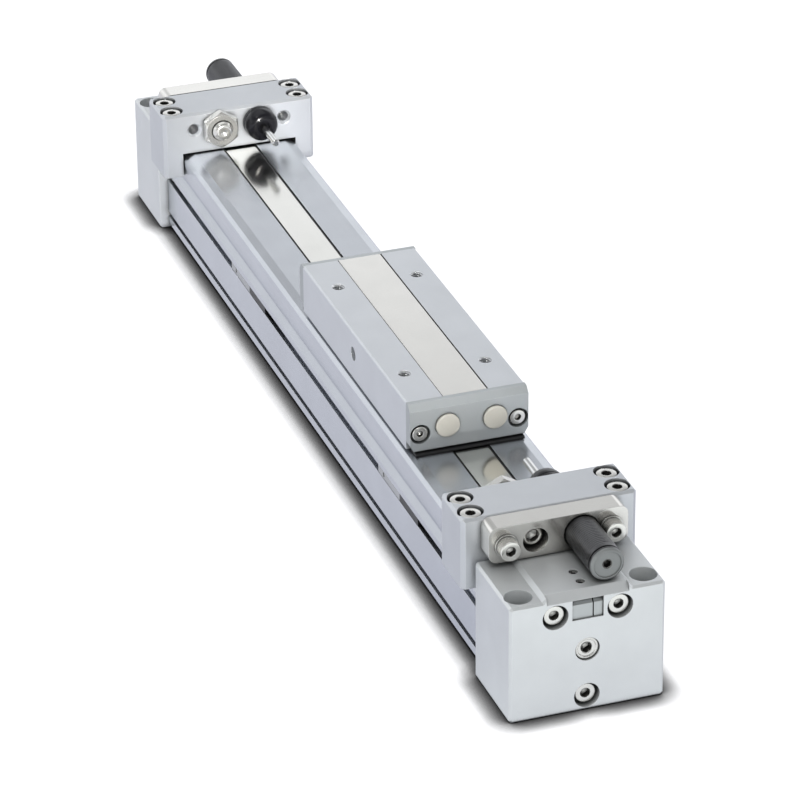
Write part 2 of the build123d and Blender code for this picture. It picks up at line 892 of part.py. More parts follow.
def slider_body():
    half = slider_width / 2
    body = block((-slider_end, slider_end), (-half, half), (slider_bottom, slider_top))
    long_edges = [e for e in body.edges().filter_by(Axis.X) if e.center().Z > slider_top - 0.1]
    body = chamfer(long_edges, slider_chamfer)
    strip_half = strip_width / 2 + strip_gap
    past_end = (-slider_end - 1, slider_end + 1)
    body -= block(past_end, (-strip_half, strip_half), (strip_floor(), slider_top + 1))
    for x in (-slider_hole_x, slider_hole_x):
        for y in (-slider_hole_y, slider_hole_y):
            body -= Pos(x, y, slider_top) * tapped_hole()
    side_hole = (-half - 1, -half + slider_side_hole_depth)
    body -= along_y(slider_side_hole_diameter, *side_hole, 0, slider_side_hole_height)
    body = body - band_tunnel() - flange_pocket() - both_sides(bearing_groove()) - coupling_pin_holes()
    ends = (slider_end - cover_screw_length, slider_end + 1)
    stem = (slider_end - button_stem_length, slider_end + 1)
    for y in (-cover_screw_y, cover_screw_y):
        screw = along_x(m3["thread"], *ends, y, cover_screw_height)
        body -= [screw, screw.mirror(Plane.YZ)]
    for y in button_places():
        socket = along_x(button_stem_diameter, *stem, y, adjuster_height)
        body -= [socket, socket.mirror(Plane.YZ)]
    return body


def tapped_hole():
    radius = slider_hole_diameter / 2
    mouth = Cone(radius, radius + slider_hole_chamfer, slider_hole_chamfer)
    return along_z(slider_hole_diameter, -slider_hole_depth, 0) + Pos(0, 0, -slider_hole_chamfer / 2) * mouth


# The button for the adjusting bolt, then the one for the absorber.
def button_places():
    return (-adjuster_y, adjuster_y + absorber_button_offset)


def strip_floor():
    return slider_top - strip_thickness


# Path of the dust band under the slider, over the yoke's flange.
def band_tunnel():
    roof = hump_height + dust_band_thickness + hump_clearance * 2
    foot = slider_bottom - 1
    flat = hump_half_length + hump_clearance
    low = hump_half_length + hump_ramp + hump_bend / 2
    width = dust_band_width + 2 * dust_band_side_gap
    return cut_from_side([(-low, foot), (-flat, roof), (flat, roof), (low, foot)], width)


def flange_pocket():
    half_length = flange_length / 2 + seat_gap
    half_width = flange_width / 2 + running_fit
    top = flange_top + seat_gap
    return block((-half_length, half_length), (-half_width, half_width), (slider_bottom - 1, top))


def bearing_groove():
    span = (bearing_inner_y, bearing_inner_y + bearing_width)
    return block((-slider_end - 1, slider_end + 1), span, (slider_bottom - 1, bearing_top() + running_fit))


def bearing_top():
    return tube_top + running_fit + bearing_thickness


def slider_bearings():
    span = (bearing_inner_y + running_fit, bearing_inner_y + bearing_width - running_fit)
    bottom = tube_top + running_fit
    bearing = block((-slider_end, slider_end), span, (bottom, bearing_top()))
    ends = bearing.faces().sort_by(Axis.Z)[0].edges().filter_by(Axis.Y)
    return group(both_sides(chamfer(ends, bearing_thickness / 3)))


def coupling_pin_holes():
    holes = []
    for x in (-coupling_pin_x, coupling_pin_x):
        start = -coupling_pin_length / 2 - running_fit
        holes.append(along_y(coupling_pin_diameter, start, slider_width, x, coupling_pin_height))
    return holes


def coupling_pins():
    half = coupling_pin_length / 2
    diameter = coupling_pin_diameter - 2 * running_fit
    return group(
        along_y(diameter, -half, half, x, coupling_pin_height) for x in (-coupling_pin_x, coupling_pin_x)
    )


def slider_cover_strip():
    half = strip_width / 2
    strip = block((-slider_end, slider_end), (-half, half), (strip_floor(), slider_top))
    edges = strip.faces().sort_by(Axis.Z)[-1].edges().filter_by(Axis.X)
    return chamfer(edges, strip_thickness / 6)


def slider_end_cover():
    half = slider_width / 2
    bottom = tube_top + cover_bottom_gap
    cover = drawn_out(across([
        (-half + cover_bottom_bevel_y, bottom), (half - cover_bottom_bevel_y, bottom),
        (half, bottom + cover_bottom_bevel_z), (half, slider_top), (-half, slider_top),
        (-half, bottom + cover_bottom_bevel_z),
    ]), slider_end, cover_end)
    cover = chamfer(cover.faces().sort_by(Axis.X)[-1].edges().sort_by(Axis.Z)[-1], cover_top_bevel)
    cover = chamfer(cover.faces().sort_by(Axis.X)[-1].edges().sort_by(Axis.Z)[0], cover_foot_bevel)
    scraper_half = scraper_root_width / 2 + running_fit
    scraper_room = (bottom - 1, scraper_top() + running_fit)
    deep = (slider_end - 1, slider_end + scraper_thickness + running_fit)
    cover -= block(deep, (-scraper_half, scraper_half), scraper_room)
    ends = (slider_end - 1, cover_end + 1)
    seat = (cover_end - cover_screw_bore_depth, cover_end + 1)
    for y in button_places():
        cover -= along_x(button_diameter + 2 * running_fit, *ends, y, adjuster_height)
    for y in (-cover_screw_y, cover_screw_y):
        cover -= along_x(m3["thread"] + 2 * screw_clearance, *ends, y, cover_screw_height)
        cover -= along_x(cover_screw_bore, *seat, y, cover_screw_height)
    return cover


def end_cover_screws():
    seat = cover_end - cover_screw_bore_depth
    length = seat - slider_end + cover_screw_length - 1
    near = [
        cap_screw_x(m3, length, seat, y, cover_screw_height) for y in (-cover_screw_y, cover_screw_y)
    ]
    return group(near + [screw.mirror(Plane.YZ) for screw in near])


# Hard faces that meet the absorber's rod and the adjusting bolt.
def striker_buttons():
    front = cover_end + button_proud
    near = []
    for y in button_places():
        head = along_x(button_diameter, slider_end, front, y, adjuster_height)
        head = chamfer(head.edges().sort_by(Axis.X)[-1], button_proud / 3)
        stem_end = slider_end - button_stem_length + running_fit
        diameter = button_stem_diameter - 2 * running_fit
        near.append(head + along_x(diameter, stem_end, slider_end, y, adjuster_height))
    return group(near + [button.mirror(Plane.YZ) for button in near])


def scraper_top():
    return tube_top + cover_bottom_gap + scraper_height


# Rubber wipers under the end covers: a lip over the tube's top, a tongue down to the dust band
# and a root in the cover's pocket.
def scrapers():
    lip_half = slider_width / 2 - cover_bottom_bevel_y
    root_half = scraper_root_width / 2
    tongue_half = dust_band_width / 2 - scraper_tongue_gap
    bottom = tube_top + running_fit
    lip_top = tube_top + cover_bottom_gap - running_fit
    root_end = slider_end + scraper_thickness
    lip = block((slider_end, cover_end + scraper_proud), (-lip_half, lip_half), (bottom, lip_top))
    lip = chamfer(lip.faces().sort_by(Axis.X)[-1].edges().sort_by(Axis.Z)[-1], (lip_top - bottom) / 2)
    root = block((slider_end, root_end), (-root_half, root_half), (bottom, scraper_top()))
    band_top = slot_floor + dust_band_thickness
    tongue = block((slider_end, root_end), (-tongue_half, tongue_half), (band_top + running_fit, lip_top))
    near = lip + root + tongue
    return group([near, near.mirror(Plane.YZ)])


# Yoke from the bore, through the slot, up to the flange that carries the slider.
def piston_yoke():
    radius = bore_diameter / 2 - yoke_clearance
    half_neck = neck_length / 2
    shoulder = piston_start - seat_gap
    bar = along_x(radius * 2, -shoulder, shoulder, 0, bore_height)
    over_bar = (yoke_bar_top, tube_top)
    bar -= block((half_neck, tube_end), (-radius, radius), over_bar)
    bar -= block((-tube_end, -half_neck), (-radius, radius), over_bar)
    neck_half_width = slot_width / 2 - neck_gap
    neck = block((-half_neck, half_neck), (-neck_half_width, neck_half_width), (yoke_bar_top, flange_top))
    flange_half = flange_width / 2
    half_flange = flange_length / 2
    flange = block((-half_flange, half_flange), (-flange_half, flange_half), (flange_bottom, flange_top))
    top_ends = flange.faces().sort_by(Axis.Z)[-1].edges().filter_by(Axis.Y)
    flange = chamfer(top_ends, flange_thickness / 3)
    spigot_end = piston_start + yoke_spigot_length - seat_gap
    spigots = along_x(yoke_spigot_diameter - 2 * thread_fit, -spigot_end, spigot_end, 0, bore_height)
    window_half = seal_band_width / 2 + window_side_gap
    window_span = (window_middle - window_height / 2, window_middle + window_height / 2)
    window = block((-half_neck - 1, half_neck + 1), (-window_half, window_half), window_span)
    yoke = bar + spigots + neck + flange - window
    for x in (-coupling_pin_x, coupling_pin_x):
        yoke -= along_y(coupling_pin_diameter, -slider_width, slider_width, x, coupling_pin_height)
    return yoke


def piston_end():
    return piston_start + piston_length


def ring_groove(start, width, depth):
    outer = bore_diameter / 2
    low = piston_start + start
    return turned([
        (low, outer - depth), (low, outer + 1), (low + width, outer + 1), (low + width, outer - depth),
    ], z=bore_height)


def piston():
    radius = bore_diameter / 2 - running_fit
    bevel = radius / 12
    end = piston_end()
    body = turned([
        (piston_start, 0), (piston_start, radius - bevel), (piston_start + bevel, radius),
        (end - bevel, radius), (end, radius - bevel), (end, 0),
    ], z=bore_height)
    body -= along_x(yoke_spigot_diameter, piston_start - 1, piston_start + yoke_spigot_length, 0, bore_height)
    cushion_bore = cushion_boss_diameter + 2 * running_fit
    body -= along_x(cushion_bore, end - cushion_bore_depth, end + 1, 0, bore_height)
    body -= ring_groove(piston_seal_start, piston_seal_width, piston_seal_depth)
    body -= ring_groove(wear_ring_start, wear_ring_width, wear_ring_depth)
    return body - ring_groove(magnet_start, magnet_width, magnet_depth)


# Lip seals: rings that fill their grooves, with a notch turned into the outer side.
def piston_seals():
    outer = bore_diameter / 2 - running_fit
    inner = bore_diameter / 2 - piston_seal_depth + running_fit
    low = piston_start + piston_seal_start + running_fit
    high = low + piston_seal_width - 2 * running_fit
    middle = (low + high) / 2
    near = turned([
        (low, inner), (low, outer), (middle, outer - piston_seal_notch), (high, outer), (high, inner),
    ], z=bore_height)
    return group([near, near.mirror(Plane.YZ)])


def plain_ring(start, width, depth, inset):
    outer = bore_diameter / 2 - running_fit - inset
    inner = bore_diameter / 2 - depth + running_fit
    low = piston_start + start + running_fit
    high = low + width - 2 * running_fit
    near = turned([(low, inner), (low, outer), (high, outer), (high, inner)], z=bore_height)
    return group([near, near.mirror(Plane.YZ)])


# Position switch: a light clamp half and a dark half, both filling the round groove.
def switch_section():
    middle = -(tube_width / 2 - switch_groove_depth)
    face = -(tube_width / 2 - switch_face_inset)
    neck = switch_groove_opening - 2 * switch_fit
    round_part = Pos(middle, switch_groove_height) * Circle(switch_groove_diameter / 2 - switch_fit)
    return round_part + Pos((middle + face) / 2, switch_groove_height) * Rectangle(middle - face, neck)


def switch_clamp(start):
    end = start + switch_clamp_length
    clamp = drawn_out(switch_section(), start, end)
    screw_x = start + switch_clamp_length / 4
    face = -tube_width / 2
    depth = m3["thread"]
    return clamp - along_y(switch_screw_diameter, face - 1, face + depth, screw_x, switch_groove_height)


def switch_body(start):
    start = start + switch_clamp_length
    return drawn_out(switch_section(), start, start + switch_body_length)


# Cylinder
save("cylinder_tube", cylinder_tube())
save("dust_seal_band", dust_seal_band())
save("inner_seal_band", inner_seal_band())
save_both_ends("head_cover", head_cover())
save_both_ends("head_gasket", head_gasket())
save_both_ends("head_screws", head_screws())
save_both_ends("end_port_plug", end_port_plug())
save_both_ends("cushion_needle", cushion_needle())
save_both_ends("cushion_boss", cushion_boss())
save_both_ends("band_clamp", band_clamp())
save_both_ends("band_clamp_screws", band_clamp_screws())

# Stops
save_both_ends("stop_bracket", stop_bracket())
save_both_ends("bracket_clamp_jaws", bracket_clamp_jaws())
save_both_ends("bracket_screws", bracket_screws())
save_both_ends("stop_plate", stop_plate())
save_both_ends("plate_screws", plate_screws())
save_both_ends("plate_washers", plate_washers())
save_both_ends("absorber_body", absorber_body())
save_both_ends("absorber_cap", absorber_cap())
save_both_ends("absorber_rod", absorber_rod())
save_both_ends("adjusting_bolt", adjusting_bolt())
save_both_ends("adjusting_bolt_nut", adjusting_bolt_nut())

# Carriage
save_on_carriage("slider_body", slider_body())
save_on_carriage("slider_cover_strip", slider_cover_strip())
save_on_carriage("slider_bearings", slider_bearings())
save_on_carriage("coupling_pins", coupling_pins())
save_carriage_ends("slider_end_cover", slider_end_cover())
save_on_carriage("end_cover_screws", end_cover_screws())
save_on_carriage("striker_buttons", striker_buttons())
save_on_carriage("scrapers", scrapers())
save_on_carriage("piston_yoke", piston_yoke())
save_carriage_ends("piston", piston())
save_on_carriage("piston_seals", piston_seals())
save_on_carriage("wear_rings", plain_ring(wear_ring_start, wear_ring_width, wear_ring_depth, 0))
save_on_carriage("piston_magnets", plain_ring(magnet_start, magnet_width, magnet_depth, magnet_inset))

# Switches
save("switch_clamp_near", switch_clamp(switch_near_x))
save("switch_body_near", switch_body(switch_near_x))
save("switch_clamp_far", switch_clamp(switch_far_x))
save("switch_body_far", switch_body(switch_far_x))
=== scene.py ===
import bmesh
import bpy
import json
import math
from mathutils import Matrix, Vector


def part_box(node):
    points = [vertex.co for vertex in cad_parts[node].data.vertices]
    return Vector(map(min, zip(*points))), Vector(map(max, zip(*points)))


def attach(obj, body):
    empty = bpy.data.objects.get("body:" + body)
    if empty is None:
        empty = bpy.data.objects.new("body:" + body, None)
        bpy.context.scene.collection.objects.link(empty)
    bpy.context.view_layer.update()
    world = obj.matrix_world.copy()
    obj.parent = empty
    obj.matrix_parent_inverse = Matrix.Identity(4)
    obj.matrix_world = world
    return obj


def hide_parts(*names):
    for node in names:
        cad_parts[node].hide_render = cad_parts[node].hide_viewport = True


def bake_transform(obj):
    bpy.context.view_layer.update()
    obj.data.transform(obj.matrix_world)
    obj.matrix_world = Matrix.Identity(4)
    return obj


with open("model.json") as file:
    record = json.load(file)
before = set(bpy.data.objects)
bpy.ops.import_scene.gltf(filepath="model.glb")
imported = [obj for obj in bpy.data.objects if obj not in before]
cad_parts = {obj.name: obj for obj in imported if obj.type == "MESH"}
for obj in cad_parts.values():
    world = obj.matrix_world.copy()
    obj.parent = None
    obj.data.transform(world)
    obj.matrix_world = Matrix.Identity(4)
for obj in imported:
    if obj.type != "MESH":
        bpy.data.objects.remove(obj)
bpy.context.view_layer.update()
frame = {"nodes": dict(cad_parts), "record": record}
nodes = frame["nodes"]
record = frame["record"]
mm = 0.001
ends = {"near": 1, "far": -1}       # each end, and the way it faces along X
white = (1, 1, 1, 1)
print("frame loaded:", len(nodes), "nodes")


def link(obj):
    bpy.context.scene.collection.objects.link(obj)


def aimed(spot, target):
    # matrix of a camera or lamp that stands at spot and looks at target
    spot = Vector(spot)
    look = Vector(target) - spot
    return Matrix.Translation(spot) @ look.to_track_quat("-Z", "Y").to_matrix().to_4x4()


# camera, at the spot the photo was taken from
cameraSet = {
    "spot": (1.3249, -0.4478, 0.7481),
    "lookAt": (-0.0031, 0.0115, 0.0039),
    "roll": -0.517,     # degrees
    "lens": 198.0,
    "sensor": 36.0,
    "clip": (0.05, 50.0),
}


def addCamera():
    data = bpy.data.cameras.new("camera")
    data.lens = cameraSet["lens"]
    data.sensor_width = cameraSet["sensor"]
    data.clip_start, data.clip_end = cameraSet["clip"]
    cam = bpy.data.objects.new("camera", data)
    roll = Matrix.Rotation(math.radians(cameraSet["roll"]), 4, "Z")
    cam.matrix_world = aimed(cameraSet["spot"], cameraSet["lookAt"]) @ roll
    link(cam)
    bpy.context.scene.camera = cam


addCamera()
print("camera placed")


# small helpers for node trees
def nodeTree(owner):
    owner.use_nodes = True
    tree = owner.node_tree
    tree.nodes.clear()
    return tree


def addNode(tree, kind, settings=None, **sockets):
    # a socket goes by its number, as in i0, or by its name with _ for each space
    made = tree.nodes.new("ShaderNode" + kind)
    for key, value in (settings or {}).items():
        setattr(made, key, value)
    for key, value in sockets.items():
        numbered = key[0] == "i" and key[1:].isdigit()
        socket = made.inputs[int(key[1:]) if numbered else key.replace("_", " ")]
        if isinstance(value, bpy.types.NodeSocket):
            tree.links.new(value, socket)
        else:
            socket.default_value = value
    return made


def maths(tree, operation, first, second=0.5, third=0.5):
    return addNode(tree, "Math", {"operation": operation}, i0=first, i1=second, i2=third).outputs[0]


def scaled(tree, vector, factor):
    return addNode(tree, "VectorMath", {"operation": "SCALE"}, i0=vector, Scale=factor).outputs[0]


def fadeOf(tree, value, stops):
    # stops: (place from 0 to 1, colour), from the lowest place up
    ramp = addNode(tree, "ValToRGB", i0=value)
    bar = ramp.color_ramp
    while len(bar.elements) < len(stops):
        bar.elements.new(0.5)
    for element, (place, color) in zip(bar.elements, stops):
        element.position = place
    for element, (place, color) in zip(bar.elements, stops):
        element.color = (*color, 1)
    return ramp.outputs[0]


# sky: light and dark by height, dimmer on one side
sky = {
    "tint": (0.95, 0.97, 1.0),
    # height, light
    "stops": ((0.0, 0.9), (0.34, 1.3), (0.42, 1.2), (0.52, 0.5), (0.7, 0.36), (1.0, 0.5)),
    "strength": 1.0,
    "darkSide": (1.0, 0.0),     # the way in which the sky is dim
    "darkSpan": (0.0, 0.65),    # how far that way the dimming starts and is full
    "darkLevel": 0.42,
}


def addWorld():
    world = bpy.data.worlds.new("studioWorld")
    bpy.context.scene.world = world
    tree = nodeTree(world)
    coords = addNode(tree, "TexCoord")
    way = addNode(tree, "SeparateXYZ", i0=coords.outputs["Generated"])
    x, y = sky["darkSide"]
    sideways = maths(tree, "MULTIPLY", way.outputs["Y"], y)
    side = maths(tree, "MULTIPLY_ADD", way.outputs["X"], x, sideways)
    start, end = sky["darkSpan"]
    dim = addNode(tree, "MapRange", {"interpolation_type": "SMOOTHSTEP"}, i0=side, i1=start, i2=end,
                  i3=sky["strength"], i4=sky["darkLevel"]).outputs[0]
    stops = [(place, [c * level for c in sky["tint"]]) for place, level in sky["stops"]]
    light = addNode(tree, "Background", i0=fadeOf(tree, way.outputs["Z"], stops), Strength=dim)
    backdrop = addNode(tree, "Background", i0=white)
    seen = addNode(tree, "LightPath").outputs["Is Camera Ray"]
    mix = addNode(tree, "MixShader", i0=seen, i1=light.outputs[0], i2=backdrop.outputs[0])
    addNode(tree, "OutputWorld", i0=mix.outputs[0])


# lamps: squares that look at the object's middle. The key one isn't mirrored, so that no metal top
# turns white, and the small one gives the glints on screws and edges
lamps = {
    "key": {
        "spot": (1.85, -0.5, 0.95),
        "size": 2.2,
        "power": 32.0,
        "tint": (1.0, 1.0, 0.96),
        "mirrored": False,
    },
    "top": {
        "spot": (-0.5, -0.2, 1.9),
        "size": 2.2,
        "power": 7.0,
        "tint": (0.97, 0.98, 1.0),
        "mirrored": True,
    },
    "sparkle": {
        "spot": (0.9, -0.9, 1.9),
        "size": 0.3,
        "power": 2.2,
        "tint": (1.0, 0.99, 0.96),
        "mirrored": True,
    },
}


def addLamp(name, own):
    data = bpy.data.lights.new(name + "Lamp", "AREA")
    data.shape = "SQUARE"
    data.size = own["size"]
    data.energy = own["power"]
    data.color = own["tint"]
    lamp = bpy.data.objects.new(name + "Lamp", data)
    lamp.matrix_world = aimed(own["spot"], (0, 0, 0))
    lamp.visible_glossy = own["mirrored"]
    link(lamp)


# narrow lamp on the far stop bracket's inner face, which is near white in the photo
beam = {
    "spot": (1.8, -0.1, 0.4),
    "target": (-0.15, 0.004, 0.048),
    "angle": 2.8,       # degrees
    "power": 205.0,
    "tint": (1.0, 0.985, 0.95),
    "softEdge": 0.9,
    "size": 0.03,
}


def addBeam():
    data = bpy.data.lights.new("beamLamp", "SPOT")
    data.energy = beam["power"]
    data.color = beam["tint"]
    data.spot_size = math.radians(beam["angle"])
    data.spot_blend = beam["softEdge"]
    data.shadow_soft_size = beam["size"]
    lamp = bpy.data.objects.new("beamLamp", data)
    lamp.matrix_world = aimed(beam["spot"], beam["target"])
    link(lamp)


# floor: white to the camera, grey to the object, with a painted contact shadow next to the object, and a glow
# of its own for mirrors
floorSet = {
    "color": (0.34, 0.34, 0.36),
    "seen": 0.88,               # glow for the camera
    "mirrorSpan": (-0.3, 0.34),         # along X, where the glow for mirrors changes
    "mirrorStops": (
        (0.0, (0.56, 0.57, 0.62)),
        (0.55, (0.5, 0.51, 0.565)),
        (0.7, (0.43, 0.445, 0.51)),
        (1.0, (0.92, 0.97, 0.95)),
    ),
    "contactShadowReach": 8.5,        # width in mm of the painted contact shadow where the object meets the floor
    "contactShadowPower": 4.6,
    "contactShadowSamples": 12,
    "size": 14.0,
}


def floorMaterial():
    mat = bpy.data.materials.new("paleFloor")
    tree = nodeTree(mat)
    path = addNode(tree, "LightPath")
    seen = path.outputs["Is Camera Ray"]
    # painted contact shadow: ambient occlusion darkens the floor's colour and its glow for the camera next to
    # the object
    contact = addNode(tree, "AmbientOcclusion", {"samples": floorSet["contactShadowSamples"]},
                      Distance=floorSet["contactShadowReach"] * mm)
    dark = maths(tree, "POWER", contact.outputs["AO"], floorSet["contactShadowPower"])
    darkSeen = addNode(tree, "MapRange", i0=seen, i3=1.0, i4=dark).outputs[0]
    matt = addNode(tree, "BsdfDiffuse", i0=scaled(tree, floorSet["color"], darkSeen))
    straight = maths(tree, "MULTIPLY", maths(tree, "MULTIPLY", seen, dark), floorSet["seen"])
    glow = addNode(tree, "Emission", i0=white, Strength=straight)
    along = addNode(tree, "SeparateXYZ", i0=addNode(tree, "TexCoord").outputs["Object"]).outputs["X"]
    start, end = floorSet["mirrorSpan"]
    share = addNode(tree, "MapRange", i0=along, i1=start, i2=end).outputs[0]
    tint = fadeOf(tree, share, floorSet["mirrorStops"])
    mirrored = maths(tree, "MAXIMUM", path.outputs["Is Glossy Ray"], path.outputs["Is Transmission Ray"])
    backGlow = addNode(tree, "Emission", i0=tint, Strength=mirrored)
    both = addNode(tree, "AddShader", i0=matt.outputs[0], i1=glow.outputs[0])
    every = addNode(tree, "AddShader", i0=both.outputs[0], i1=backGlow.outputs[0])
    addNode(tree, "OutputMaterial", i0=every.outputs[0])
    return mat


def addFloor():
    half = floorSet["size"] / 2
    mesh = bpy.data.meshes.new("studioFloor")
    corners = [(-half, -half, 0), (half, -half, 0), (half, half, 0), (-half, half, 0)]
    mesh.from_pydata(corners, [], [(0, 1, 2, 3)])
    mesh.materials.append(floorMaterial())
    floor = bpy.data.objects.new("studioFloor", mesh)
    link(floor)


bpy.context.scene.view_settings.view_transform = "Standard"
addWorld()
for name, own in lamps.items():
    addLamp(name, own)
addBeam()
addFloor()
print("studio lit")


# finishes: mottled colour, uneven gloss, fine relief, painted highlights on edges and painted shade in
# crevices
finishDefaults = {
    "metal": 1.0,
    "rough": 0.35,
    "leastRough": 0.02,
    "spread": 0.06,         # how far the gloss wanders
    "mottle": 0.03,         # how far the colour wanders
    "patch": 70.0,          # patches of that colour, per metre
    "patchDetail": 4.0,
    "patchSpan": (0.3, 0.7),
    "grain": (2600, 2600, 2600),        # fine pattern along X, Y and Z, per metre
    "grainDetail": 3.0,
    "relief": 0.03,         # strength of that pattern as bumps
    "reliefDepth": 0.05,    # in mm
    "edge": 0.25,           # softened edge in mm
    "edgeSamples": 4,
    "wear": 0.3,            # painted highlight along edges
    "wearFull": 0.93,       # likeness of soft and flat normal at which the painted edge highlight is full
    "wearGain": 1.5,
    "wearLift": 0.12,
    "crevice": 0.88,        # painted shade where two faces come close
    "creviceReach": 1.6,    # in mm
    "creviceShadeSpan": (0.3, 0.85),
    "creviceShadeSamples": 6,
    "coat": 0.0,
    "coatRough": 0.06,
    "specular": 0.5,
}


def finish(name, color, **changes):
    own = {**finishDefaults, **changes}
    mat = bpy.data.materials.new(name)
    tree = nodeTree(mat)
    coords = addNode(tree, "TexCoord").outputs["Object"]

    # colour that wanders
    cloud = addNode(tree, "TexNoise", Vector=coords, Scale=own["patch"],
                    Detail=own["patchDetail"]).outputs["Fac"]
    low = [c * (1 - own["mottle"]) for c in color]
    high = [min(1, c * (1 + own["mottle"])) for c in color]
    start, end = own["patchSpan"]
    tint = fadeOf(tree, cloud, ((start, low), (end, high)))

    # painted highlight on edges, where the softened normal leaves the flat one
    soft = addNode(tree, "Bevel", {"samples": own["edgeSamples"]}, Radius=own["edge"] * mm).outputs[0]
    flat = addNode(tree, "NewGeometry").outputs["Normal"]
    likeness = addNode(tree, "VectorMath", {"operation": "DOT_PRODUCT"}, i0=soft, i1=flat).outputs["Value"]
    edgeHighlightMask = addNode(tree, "MapRange", i0=likeness, i1=1.0, i2=own["wearFull"], i3=0.0,
                     i4=own["wear"]).outputs[0]
    bright = [min(1, c * own["wearGain"] + own["wearLift"]) for c in color]
    edgeHighlighted = addNode(tree, "Mix", {"data_type": "RGBA"}, i0=edgeHighlightMask, i6=tint, i7=(*bright, 1)).outputs[2]

    # painted shade in crevices: ambient occlusion darkens the colour
    closeBy = addNode(tree, "AmbientOcclusion", {"samples": own["creviceShadeSamples"]},
                      Distance=own["creviceReach"] * mm).outputs["AO"]
    start, end = own["creviceShadeSpan"]
    paintedCreviceShade = addNode(tree, "MapRange", i0=closeBy, i1=start, i2=end, i3=1 - own["crevice"],
                    i4=1.0).outputs[0]

    # fine pattern, in the gloss and as relief
    place = addNode(tree, "Mapping", Vector=coords, Scale=own["grain"]).outputs[0]
    fine = addNode(tree, "TexNoise", Vector=place, Scale=1.0, Detail=own["grainDetail"]).outputs["Fac"]
    lowGloss = max(own["leastRough"], own["rough"] - own["spread"])
    gloss = addNode(tree, "MapRange", i0=fine, i3=lowGloss, i4=own["rough"] + own["spread"]).outputs[0]
    bump = addNode(tree, "Bump", Strength=own["relief"], Distance=own["reliefDepth"] * mm, Height=fine,
                   Normal=soft).outputs[0]

    shader = addNode(tree, "BsdfPrincipled", Base_Color=scaled(tree, edgeHighlighted, paintedCreviceShade), Roughness=gloss,
                     Normal=bump, Metallic=own["metal"], Specular_IOR_Level=own["specular"],
                     Coat_Weight=own["coat"], Coat_Roughness=own["coatRough"])
    addNode(tree, "OutputMaterial", i0=shader.outputs[0])
    return mat


drawnOut = (25, 2400, 2400)     # fine lines along the tube
rolled = (8, 4000, 4000)        # and finer ones along the bands
finishes = {
    "tube_aluminium": finish("anodisedTube", (0.57, 0.59, 0.625), metal=0.95, rough=0.25, spread=0.03,
                             grain=drawnOut, relief=0.035),
    # head and bracket: the longer reach paints shade under the stop plate and round the counterbores
    "head_aluminium": finish("anodisedHead", (0.72, 0.74, 0.75), metal=0.6, rough=0.38, relief=0.06,
                             creviceReach=2.6),
    "bracket_aluminium": finish("anodisedBracket", (0.6, 0.62, 0.65), metal=0.6, rough=0.36, relief=0.06,
                                creviceReach=2.6),
    "slider_aluminium": finish("anodisedSlider", (0.64, 0.66, 0.69), metal=0.65, rough=0.36, relief=0.06,
                               crevice=0.7),
    "clamp_aluminium": finish("milledClamp", (0.5, 0.52, 0.52), metal=0.8, rough=0.4, relief=0.06),
    "band_steel": finish("polishedBand", (0.78, 0.77, 0.73), rough=0.14, spread=0.03, grain=rolled,
                         relief=0.06),
    # the long reach paints shade on the plate round the absorber and the screws
    "polished_steel": finish("mirrorSteel", (0.76, 0.745, 0.71), metal=0.86, rough=0.13, spread=0.03,
                             creviceReach=6),
    "plated_screw": finish("nickelScrew", (0.77, 0.76, 0.725), metal=0.86, rough=0.2, relief=0.05,
                           crevice=0.9),
    "bright_steel": finish("groundSteel", (0.76, 0.76, 0.75), rough=0.15, spread=0.04, relief=0.04),
    # the long reach paints shade on the absorber body near the stop plate
    "absorber_grey": finish("absorberBlack", (0.09, 0.09, 0.093), metal=0.9, rough=0.29, relief=0.015,
                            wear=0.08, crevice=0.95, creviceReach=14),
    "cap_black": finish("glossCap", (0.006, 0.006, 0.008), metal=0.0, rough=0.2, relief=0.01, wear=0.0,
                        coat=0.15, specular=0.3),
    "cover_plastic": finish("coverGrey", (0.43, 0.455, 0.47), metal=0.35, rough=0.36, relief=0.05),
    "striker_plastic": finish("strikerCream", (0.5, 0.485, 0.44), metal=0.0, rough=0.34, relief=0.04,
                              mottle=0.05),
    "bearing_plastic": finish("bearingDark", (0.08, 0.08, 0.09), metal=0.0, rough=0.4),
    "seal_rubber": finish("sealRubber", (0.012, 0.012, 0.013), metal=0.0, rough=0.55, wear=0.0),
    "magnet": finish("sinteredMagnet", (0.1, 0.1, 0.1), metal=0.6, rough=0.5),
    "switch_grey": finish("switchGrey", (0.5, 0.51, 0.53), metal=0.4, rough=0.4),
    "switch_black": finish("switchBlack", (0.008, 0.008, 0.009), metal=0.0, rough=0.4, wear=0.0),
}
# dark finish for the sockets' mouths and walls, a painted shade in the recess; its strong edge highlight
# paints glints
socketPaintedShade = finish("socketPaintedShade", (0.09, 0.088, 0.082), metal=0.9, rough=0.2, relief=0.05, wear=0.8)
socketFloor = finish("socketFloor", (0.66, 0.65, 0.62), rough=0.3, relief=0.05, crevice=0.2)
threadBright = finish("threadBright", (0.72, 0.73, 0.74), rough=0.22, crevice=0.55)
# lighter copy of the absorber's finish for its end face: a painted reflection of the bright surroundings
absorberFacePaintedSheen = finish("absorberFacePaintedSheen", (0.24, 0.25, 0.25), metal=0.6, rough=0.38, relief=0.05)
screwMats = (finishes["plated_screw"], socketPaintedShade, socketFloor)
slotOfNode = {part["node"]: part["material_slot"] for part in record["subparts"]}
bodyOfNode = {node: body for body, held in record["behaviour"]["bodies"].items() for node in held}

for name, obj in nodes.items():
    obj.data.materials.clear()
    obj.data.materials.append(finishes[slotOfNode[name]])
print("finishes made:", len(finishes))


# where the CAD's solids are
weldReach = 1e-6        # metres, joins a CAD mesh's doubled corners


